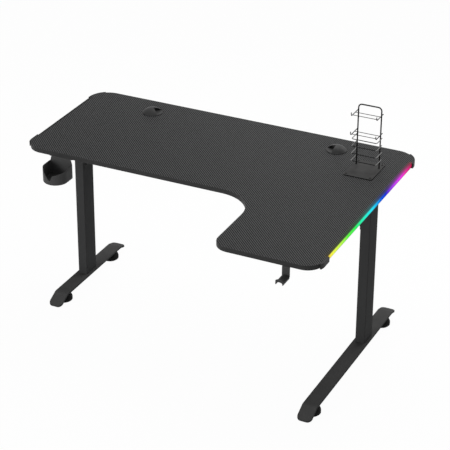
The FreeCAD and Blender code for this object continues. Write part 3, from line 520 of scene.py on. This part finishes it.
# Hexagon bolt: the rim's radius is half the flats over the cosine of the turn from the nearest flat's middle,
# and the crown drops by the slope times whatever a ring reaches past the chamfer's circle.
boltLook = {"chamfer": 0.47, "slope": 0.58, "bevelFrom": 0.8, "rings": 8, "tip": 0.001, "tipShare": 0.8,
            "turns": 61}
boltSizes = {
    "beam": {"flats": 0.010, "height": 0.004, "shank": 0.0029, "length": 0.0128},
    "arm": {"flats": 0.010, "height": 0.004, "shank": 0.0029, "length": 0.0138},
    "foot": {"flats": 0.013, "height": 0.0053, "shank": 0.0039, "length": 0.0148},
}


def hexBolt(flats, height, shank, length):
    look = boltLook
    turn = np.linspace(0, 2 * np.pi, look["turns"])
    rim = flats / 2 / np.cos((turn + np.pi / 6) % (np.pi / 3) - np.pi / 6)
    share = np.concatenate([[0.0, 0.5], np.linspace(look["bevelFrom"], 1.0, look["rings"])])
    ring = share[:, None] * rim
    level = -height + np.clip(ring - flats * look["chamfer"], 0, None) * look["slope"]
    around = np.ones_like(turn)
    lower = np.stack([rim, shank * around, shank * around, look["tipShare"] * shank * around, 0 * around])
    drop = np.array([0.0, 0.0, length - look["tip"], length, length])[:, None] * around
    ring = np.concatenate([ring, lower])
    level = np.concatenate([level, drop])
    return np.stack([ring * np.cos(turn), ring * np.sin(turn), level], -1)


def outward(part):                   # along x, away from the middle of the desk
    return (np.sign(part[0, 0]), 0, 0)


upward, downward = (0, 0, 1), (0, 0, -1)
for name in screwed:
    axis, coat = (downward, "rackPlate") if name == "rack" else (upward, "blackOxide")
    screws = seated(panScrew(), name + "_screws", axis, screwLook["height"])
    makePiece(name + "Screws", screws, finish[coat], [name + "_screws"])
for name in bolted:
    bolt = boltSizes[name]
    axis = outward if name == "beam" else upward
    bolts = seated(hexBolt(**bolt), name + "_bolts", axis, bolt["height"])
    makePiece(name + "Bolts", bolts, finish["blackOxide"], [name + "_bolts"])
print("screws and bolts set")


# Cup holder: a wall carried round a D plan. The plan is given by its outer points and outward normals,
# and each profile row by its inset along the normal and its level. The rim's level follows the hand notch
# along the front and rises at the back into the flange that is screwed under the board.
cupLook = {"wall": 0.003, "rimDrop": 0.021, "straight": 0.043, "round": 0.005, "back": 0.005,
           "notch": [(-0.92, 0.0), (-0.06, 0.042), (0.06, 0.042), (0.2, 0.020), (1.0, 0.009)],
           "ramp": 0.018, "soften": 9, "edge": 0.0007, "count": 521}


def cupPlan(cx, cy, radius, backY):
    look = cupLook
    bend = look["back"]
    flat = radius - bend
    far = backY - bend
    ends = np.cumsum([flat, bend * np.pi / 2, far - cy, radius * np.pi, far - cy, bend * np.pi / 2, flat])
    s = np.linspace(0, ends[-1], look["count"])
    turn = np.interp(s, [0, *ends], np.array([1, 1, 2, 2, 4, 4, 5, 5]) * np.pi / 2)
    nx, ny = np.cos(turn), np.sin(turn)
    part = [s <= e for e in ends[:-1]]           # back, bend, side, round front, side, bend, and back again
    x = np.select(part, [cx - s, cx - flat + bend * nx, cx - radius + 0 * s, cx + radius * nx,
                         cx + radius + 0 * s, cx + flat + bend * nx], cx + flat - (s - ends[5]))
    y = np.select(part, [backY + 0 * s, far + bend * ny, far - (s - ends[1]), cy + radius * ny,
                         cy + (s - ends[3]), far + bend * ny], backY + 0 * s)
    shares, drops = np.array(look["notch"]).T
    front = np.interp((x - cx) / radius, shares, drops, left=0.0)
    rise = np.clip((y - cy) / look["ramp"], 0, 1)
    side = drops[-1] * (1 - rise * rise * (3 - 2 * rise))
    onFront = (s > ends[2]) & (s <= ends[3])
    onSide = (s > ends[3]) & (s <= ends[4])
    onBack = (s < ends[0]) | (s > ends[5])
    drop = np.select([onFront, onSide, onBack], [front, side, look["wall"] * 0.5 - look["rimDrop"]], 0.0)
    reach = look["soften"]
    kernel = np.hanning(2 * reach + 1)
    drop = np.convolve(np.concatenate([drop[-reach:], drop, drop[:reach]]), kernel / kernel.sum(), "valid")
    return np.stack([x, y], -1), np.stack([nx, ny], -1), drop


def cupWall(middle, plan, normal, rim, floor):
    wall, out = cupLook["wall"], cupLook["round"]
    lip, inner = wall / 2, out - wall
    under = np.linspace(0, np.pi / 2, 6)[1:]     # round the lower edge outside
    over = np.linspace(0, np.pi, 9)[1:]          # over the rim
    within = np.linspace(0, np.pi / 2, 5)[1:]    # round the lower edge inside
    rise, fall = np.array([1, 2, 3]) / 3, np.array([2, 1, 0]) / 3
    inset = np.concatenate([[out] * 3, out * (1 - np.sin(under)), 0 * rise, lip * (1 - np.cos(over)),
                            wall + 0 * fall, wall + inner * (1 - np.cos(within)), [out] * 2])
    share = np.concatenate([[0, 0.5, 1], np.ones(len(inset) - 5), [0.5, 0]])
    rest = np.concatenate([[floor] * 3, floor + out * (1 - np.cos(under)), (1 - rise) * (floor + out),
                           lip * np.sin(over), (1 - fall) * (floor + out),
                           floor + wall + inner * (1 - np.sin(within)), [floor + wall] * 2])
    part = np.concatenate([np.zeros(3 + len(under)), rise, np.ones(len(over)), fall,
                           np.zeros(len(within) + 2)])       # how much of the rim's level a row takes
    level = rest[:, None] + part[:, None] * (rim - lip)
    ring = plan - normal * inset[:, None, None]
    ring = middle + (ring - middle) * share[:, None, None]
    return np.concatenate([ring, level[:, :, None]], -1)


# A moulded section carried along x: each corner is a curve between its two neighbours' sides, and the
# two ends are drawn in by the edge's width so that they read as rounded. A pair under ends is a place in
# from the end and how far the section is drawn in there, both in edge widths.
carryLook = {"steps": 7, "ends": [(0.0, 1.0), (0.3, 0.3), (1.0, 0.0)]}


def carried(profile, radii, x0, x1, edge):
    points = np.array(profile, dtype=float)
    ahead = np.roll(points, -1, axis=0) - points
    ahead = ahead / np.linalg.norm(ahead, axis=1, keepdims=True)
    before = np.roll(ahead, 1, axis=0)
    inward = np.stack([-ahead[:, 1], ahead[:, 0]], -1)
    last = np.roll(inward, 1, axis=0)
    mitre = (inward + last) / (1 + (inward * last).sum(axis=1, keepdims=True))
    t = np.linspace(0, 1, carryLook["steps"])[None, :, None]
    reach = np.array(radii)[:, None]

    def ring(draw):
        corner = points + mitre * draw
        start, end = (corner - before * reach)[:, None], (corner + ahead * reach)[:, None]
        curve = (1 - t) ** 2 * start + 2 * t * (1 - t) * corner[:, None] + t ** 2 * end
        loop = curve.reshape(-1, 2)
        return np.concatenate([loop, loop[:1]])

    ends = carryLook["ends"]
    places = [x0 + way * edge for way, draw in ends] + [x1 - way * edge for way, draw in reversed(ends)]
    rows = [ring(draw * edge) for way, draw in ends + ends[::-1]]
    across = np.array(places)[:, None] * np.ones(len(rows[0]))
    return np.concatenate([across[:, :, None], np.stack(rows)], -1)


def cupHolder():
    look = cupLook
    low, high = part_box("cup_holder")
    cx, radius = (low.x + high.x) / 2, (high.x - low.x) / 2
    cy = low.y + radius
    backY = cy + look["straight"]
    rimZ = high.z - look["rimDrop"]
    plan, normal, drop = cupPlan(cx, cy, radius, backY)
    shell = cupWall(np.array([cx, cy]), plan, normal, rimZ - drop, low.z)
    wall, edge = look["wall"], look["edge"]
    front, under = backY - wall, high.z - wall
    section = [(front, under), (high.y, under), (high.y, high.z), (front, high.z)]
    flange = carried(section, [edge] * 4, low.x, high.x, edge)
    makePiece("cupHolder", [shell, flange], finish["accessoryPlastic"], ["cup_holder"])


cupHolder()
print("cup holder built")


# Weld beads on the rack: an ellipsoid whose radius ripples with the turn, and round each post's foot a fillet
# whose section runs in a quarter circle from the plate up to the post.
beadLook = {"post": 0.0026, "wire": 0.0016, "size": (0.0019, 0.0034, 0.0019), "tie": (0.0017, 0.0019, 0.0017),
            "foot": 0.0024, "root": 0.7, "ripple": 0.07, "waves": 5, "footWaves": 9,
            "shares": (0.35, 0.8), "reach": 0.062}


def bead(place, size):
    a = np.linspace(0, np.pi, 11)[:, None]
    b = np.linspace(0, 2 * np.pi, 17)
    ripple = 1 + beadLook["ripple"] * np.sin(beadLook["waves"] * b) * np.sin(a) * np.sin(2 * a)
    ball = np.stack([np.sin(a) * np.cos(b), np.sin(a) * np.sin(b), np.cos(a) + 0 * b], -1)
    return np.array(place) + ball * ripple[:, :, None] * np.array(size)


def footFillet(x, y, z):
    t = np.linspace(0, np.pi / 2, 7)
    post, size = beadLook["post"], beadLook["foot"]
    root = post * beadLook["root"]
    r = np.concatenate([[root], post + size * (1 - np.sin(t)), [root, root]])[:, None]
    h = np.concatenate([[0], size * (1 - np.cos(t)), [size, 0]])[:, None]
    turn = np.linspace(0, 2 * np.pi, 37)
    wide = 1 + beadLook["ripple"] * np.sin(beadLook["footWaves"] * turn) * (h > 0)
    return np.stack([x + r * np.cos(turn) * wide, y + r * np.sin(turn) * wide, z + h + 0 * turn], -1)


def weldBeads():
    post, wire = beadLook["post"], beadLook["wire"]
    low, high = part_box("rack_frame")
    postY = (low.y + high.y) / 2
    grids = [footFillet(x, postY, low.z) for x in (low.x + post, high.x - post)]
    for name in loops + cradles:
        a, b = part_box(name)
        z = a.z + wire
        inner = [a.x + 2 * wire, b.x - 2 * wire]
        grids += [bead((x, postY, z), beadLook["size"]) for x in inner]
        if name in cradles:
            ties = [postY - beadLook["reach"] * s for s in beadLook["shares"]]
            grids += [bead((x, y, z), beadLook["tie"]) for x in inner for y in ties]
    makePiece("rackWelds", grids, finish["rackCoat"])


weldBeads()
print("rack welds laid")


# Stage: one wide pale floor, soft light from above, from behind at the right and from the front
stageLook = {"reach": 40.0, "floor": 0.9, "lift": 0.97, "sky": 0.40}
lamps = {
    "overhead": {"place": (0.1, 1.4, 2.5), "aim": (0.0, 0.1, 0.6), "size": 1.8, "power": 36.0},
    "rim": {"place": (1.3, 2.5, 2.0), "aim": (0.4, 0.2, 0.75), "size": 1.0, "power": 13.0},
    "front": {"place": (-2.6, -5.2, 1.2), "aim": (0.0, 0.0, 0.4), "size": 2.2, "power": 165.0},
}


def seenWhite(tree):                 # 1 for rays from the camera, in gloss and through clear pieces
    rays = tree.nodes.new("ShaderNodeLightPath").outputs
    kinds = ("Is Camera Ray", "Is Glossy Ray", "Is Transmission Ray")
    seen, gloss, clear = [Flow(tree, rays[kind]) for kind in kinds]
    return (seen + gloss + clear).math("MINIMUM", 1.0)


def stageFloor():
    reach = stageLook["reach"]
    mesh = bpy.data.meshes.new("stageFloor")
    square = [(-reach, -reach, 0), (reach, -reach, 0), (reach, reach, 0), (-reach, reach, 0)]
    mesh.from_pydata(square, [], [(0, 1, 2, 3)])
    floor = bpy.data.objects.new("stageFloor", mesh)
    scene.collection.objects.link(floor)
    made, shader, spot = startMaterial("stageFloor")
    plug(shader, {}, {"Base Color": grey(stageLook["floor"]), "Roughness": 1.0, "Specular IOR Level": 0.0})
    seen = seenWhite(spot.tree)
    white = spot.node("ShaderNodeEmission", None, {"Color": grey(1.0), "Strength": 1.0})
    mixed = spot.node("ShaderNodeMixShader", None,
                      {0: seen * stageLook["lift"], 1: Flow(spot.tree, shader.outputs[0]), 2: white})
    output = spot.tree.nodes["Material Output"]
    spot.tree.links.new(mixed.socket, output.inputs["Surface"])
    mesh.materials.append(made)


def stageWorld():
    world = bpy.data.worlds.new("stageWorld")
    world.use_nodes = True
    tree = world.node_tree
    back = tree.nodes["Background"]
    back.inputs["Color"].default_value = grey(1.0)
    level = seenWhite(tree) * (1.0 - stageLook["sky"]) + stageLook["sky"]
    tree.links.new(level.socket, back.inputs["Strength"])
    scene.world = world


def placeAt(made, right, above, back, place):     # its axes and its place are the columns of its matrix
    made.matrix_world = [[*right, 0], [*above, 0], [*back, 0], [*place, 1]]


def stageLamp(name, look):
    data = bpy.data.lights.new(name, "AREA")
    data.energy = look["power"]
    data.size = look["size"]
    lamp = bpy.data.objects.new(name, data)
    scene.collection.objects.link(lamp)
    back = np.array(look["place"]) - np.array(look["aim"])
    back = back / np.linalg.norm(back)
    right = np.cross((0, 0, 1), back)
    right = right / np.linalg.norm(right)
    placeAt(lamp, right, np.cross(back, right), back, look["place"])


# Camera: the photograph's own view, with its focal length in pixels of the 450-pixel frame
view = {"turn": 25.647, "rise": 27.818, "roll": 0.318, "place": (2.6797, -5.3122, 3.6504),
        "focal": 1769.3, "side": 450.0, "sensor": 36.0, "far": 200.0}


def photoCamera():
    turn, rise, roll = [math.radians(view[k]) for k in ("turn", "rise", "roll")]
    back = np.array([math.sin(turn) * math.cos(rise), -math.cos(turn) * math.cos(rise), math.sin(rise)])
    level = np.array([math.cos(turn), math.sin(turn), 0.0])
    plumb = np.cross(back, level)
    right = level * math.cos(roll) + plumb * math.sin(roll)
    above = plumb * math.cos(roll) - level * math.sin(roll)
    data = bpy.data.cameras.new("photoCamera")
    data.sensor_width = view["sensor"]
    data.lens = view["focal"] / view["side"] * view["sensor"]
    data.clip_end = view["far"]
    camera = bpy.data.objects.new("photoCamera", data)
    scene.collection.objects.link(camera)
    placeAt(camera, right, above, back, view["place"])
    scene.camera = camera


stageFloor()
stageWorld()
for name, look in lamps.items():
    stageLamp(name, look)
photoCamera()
print("stage and camera set")
